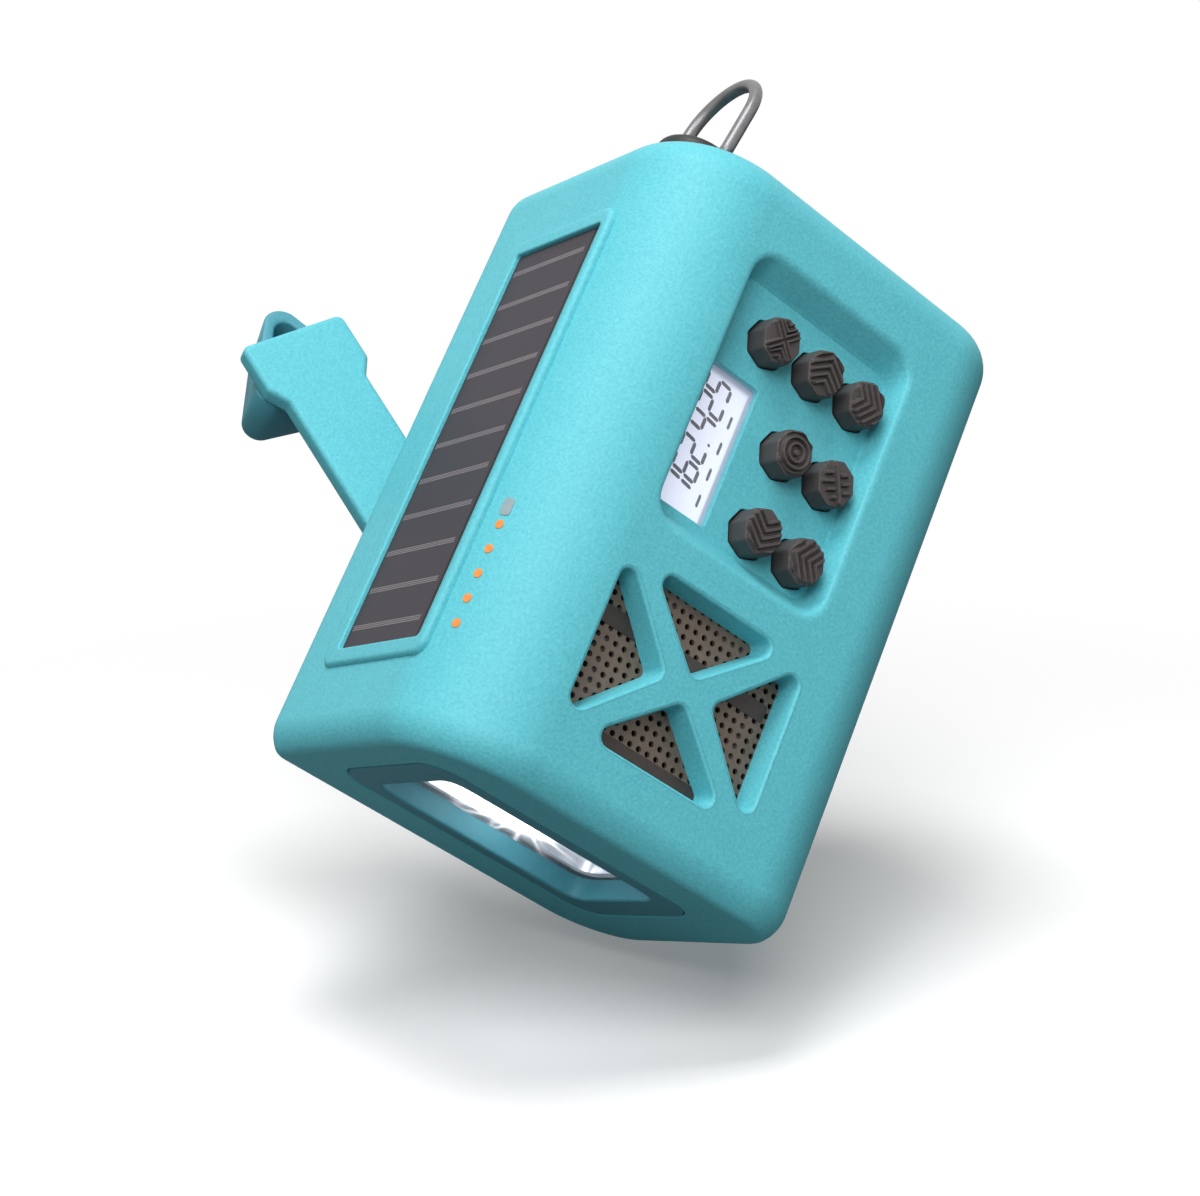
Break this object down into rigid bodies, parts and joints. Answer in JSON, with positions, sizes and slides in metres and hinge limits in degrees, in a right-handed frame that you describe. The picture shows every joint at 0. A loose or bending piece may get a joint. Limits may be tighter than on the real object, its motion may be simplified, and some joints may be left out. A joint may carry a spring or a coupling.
{
  "type": "emergency radio",
  "caption": "Hand-crank and solar emergency radio with folding crank, torch end, LCD, sprung buttons, speaker windows and a swinging lanyard ring.",
  "frame": {"origin": "on the base plane, below the middle of the body", "axes": "+X along the body towards the lanyard ring, -Y the control side, +Y the crank side, +Z the solar side"},
  "size_m": [0.1762, 0.1271, 0.1308],
  "materials": {
    "housing": "fine grained matte teal",
    "button": "matte charcoal",
    "solar": "satin laminated cells",
    "clear": "clear",
    "lcd": "satin",
    "board": "solder mask",
    "steel": "brushed",
    "grille": "perforated, dark bronze",
    "grey_plastic": "matte",
    "cone": "treated paper",
    "indicator": "translucent orange",
    "sensor": "translucent grey",
    "reflector": "polished white",
    "led": "satin",
    "aluminium": "satin",
    "cell": "shrink sleeve",
    "rubber": "matte",
    "brass": "satin",
    "gear": "moulded acetal",
    "black": "matte",
    "ring": "satin grey",
    "ferrite": "sintered",
    "copper": "enamelled wire",
    "chrome": "bright"
  },
  "bodies": {
    "housing": {"main_shell": "housing", "rear_cover": "housing", "cover_screws": "steel", "solar_bezel": "housing", "solar_panel": "solar", "lcd_window": "clear", "lcd_module": "lcd", "main_board": "board", "dome_switches": "steel", "board_screws": "steel", "speaker_grille": "grille", "speaker_frame": "grey_plastic", "speaker_cone": "cone", "speaker_magnet": "steel", "indicator_pipes": "indicator", "indicator_board": "board", "sensor_window": "sensor", "torch_panel": "housing", "torch_lens": "clear", "torch_reflector": "reflector", "torch_led": "led", "torch_board": "aluminium", "battery_cells": "cell", "battery_tray": "grey_plastic", "battery_contacts": "steel", "power_board": "board", "usb_ports": "steel", "crank_bush": "brass", "idler_pin": "steel", "generator_case": "steel", "gearbox_plate": "steel", "gearbox_screws": "steel", "bail_boss": "black", "bail_nut": "steel", "ferrite_rod": "ferrite", "ferrite_coil": "copper", "whip_pin": "steel"},
    "crank": {"crank_hub": "housing", "drive_gear": "gear", "fold_pin": "steel"},
    "arm": {"crank_arm": "housing", "knob_pin": "steel"},
    "knob": {"crank_knob": "housing"},
    "idler": {"idler_gear": "gear"},
    "rotor": {"generator_rotor": "aluminium"},
    "lanyard_ring": {"bail": "ring"},
    "port_flap": {"port_cover": "rubber"},
    "aerial_base": {"whip_base": "chrome"},
    "aerial_middle": {"whip_middle": "chrome"},
    "aerial_tip": {"whip_tip": "chrome"},
    "key_power": {"button_power": "button"},
    "key_up": {"button_up": "button"},
    "key_down": {"button_down": "button"},
    "key_light": {"button_light": "button"},
    "key_alarm": {"button_alarm": "button"},
    "key_band": {"button_band": "button"},
    "key_menu": {"button_menu": "button"}
  },
  "joints": [
    {"name": "crank_spin", "type": "hinge", "parent": "housing", "child": "crank", "pos_m": [-0.0106, 0.043, 0.0809], "axis": [0, 1, 0], "continuous": true},
    {"name": "crank_fold", "type": "hinge", "parent": "crank", "child": "arm", "pos_m": [-0.0106, 0.043, 0.0809], "axis": [-0.7593, 0, 0.6508], "range_deg": [0, 156]},
    {"name": "knob_spin", "type": "hinge", "parent": "arm", "child": "knob", "pos_m": [0.02073, 0.06444, 0.11745], "axis": [-0.2647, 0.9135, -0.3088], "continuous": true},
    {"name": "idler_spin", "type": "hinge", "parent": "housing", "child": "idler", "pos_m": [0.0063, 0.026, 0.0809], "axis": [0, 1, 0], "continuous": true},
    {"name": "rotor_spin", "type": "hinge", "parent": "housing", "child": "rotor", "pos_m": [0.0196, 0.02, 0.0809], "axis": [0, 1, 0], "continuous": true},
    {"name": "ring_swing", "type": "hinge", "parent": "housing", "child": "lanyard_ring", "pos_m": [0.078, -0.011, 0.0819], "axis": [0, 1, 0], "range_deg": [-97, 83]},
    {"name": "flap_hinge", "type": "hinge", "parent": "housing", "child": "port_flap", "pos_m": [0.07405, 0.0025, 0.02375], "axis": [0, 1, 0], "range_deg": [0, 80]},
    {"name": "aerial_swing", "type": "hinge", "parent": "housing", "child": "aerial_base", "pos_m": [0.052, 0.0405, 0.0269], "axis": [0, 1, 0], "range_deg": [0, 180]},
    {"name": "aerial_middle_slide", "type": "slide", "parent": "aerial_base", "child": "aerial_middle", "axis": [-1, 0, 0], "range_m": [0, 0.055]},
    {"name": "aerial_tip_slide", "type": "slide", "parent": "aerial_middle", "child": "aerial_tip", "axis": [-1, 0, 0], "range_m": [0, 0.055]},
    {"name": "press_power", "type": "slide", "parent": "housing", "child": "key_power", "axis": [0, 1, 0], "range_m": [0, 0.001], "stiffness_N_per_m": 600, "springref_m": -0.0005},
    {"name": "press_up", "type": "slide", "parent": "housing", "child": "key_up", "axis": [0, 1, 0], "range_m": [0, 0.001], "stiffness_N_per_m": 600, "springref_m": -0.0005},
    {"name": "press_down", "type": "slide", "parent": "housing", "child": "key_down", "axis": [0, 1, 0], "range_m": [0, 0.001], "stiffness_N_per_m": 600, "springref_m": -0.0005},
    {"name": "press_light", "type": "slide", "parent": "housing", "child": "key_light", "axis": [0, 1, 0], "range_m": [0, 0.001], "stiffness_N_per_m": 600, "springref_m": -0.0005},
    {"name": "press_alarm", "type": "slide", "parent": "housing", "child": "key_alarm", "axis": [0, 1, 0], "range_m": [0, 0.001], "stiffness_N_per_m": 600, "springref_m": -0.0005},
    {"name": "press_band", "type": "slide", "parent": "housing", "child": "key_band", "axis": [0, 1, 0], "range_m": [0, 0.001], "stiffness_N_per_m": 600, "springref_m": -0.0005},
    {"name": "press_menu", "type": "slide", "parent": "housing", "child": "key_menu", "axis": [0, 1, 0], "range_m": [0, 0.001], "stiffness_N_per_m": 600, "springref_m": -0.0005}
  ],
  "couplings": [
    {"joint": "idler_spin", "follows": "crank_spin", "ratio": -2.5},
    {"joint": "rotor_spin", "follows": "crank_spin", "ratio": 8.5}
  ]
}
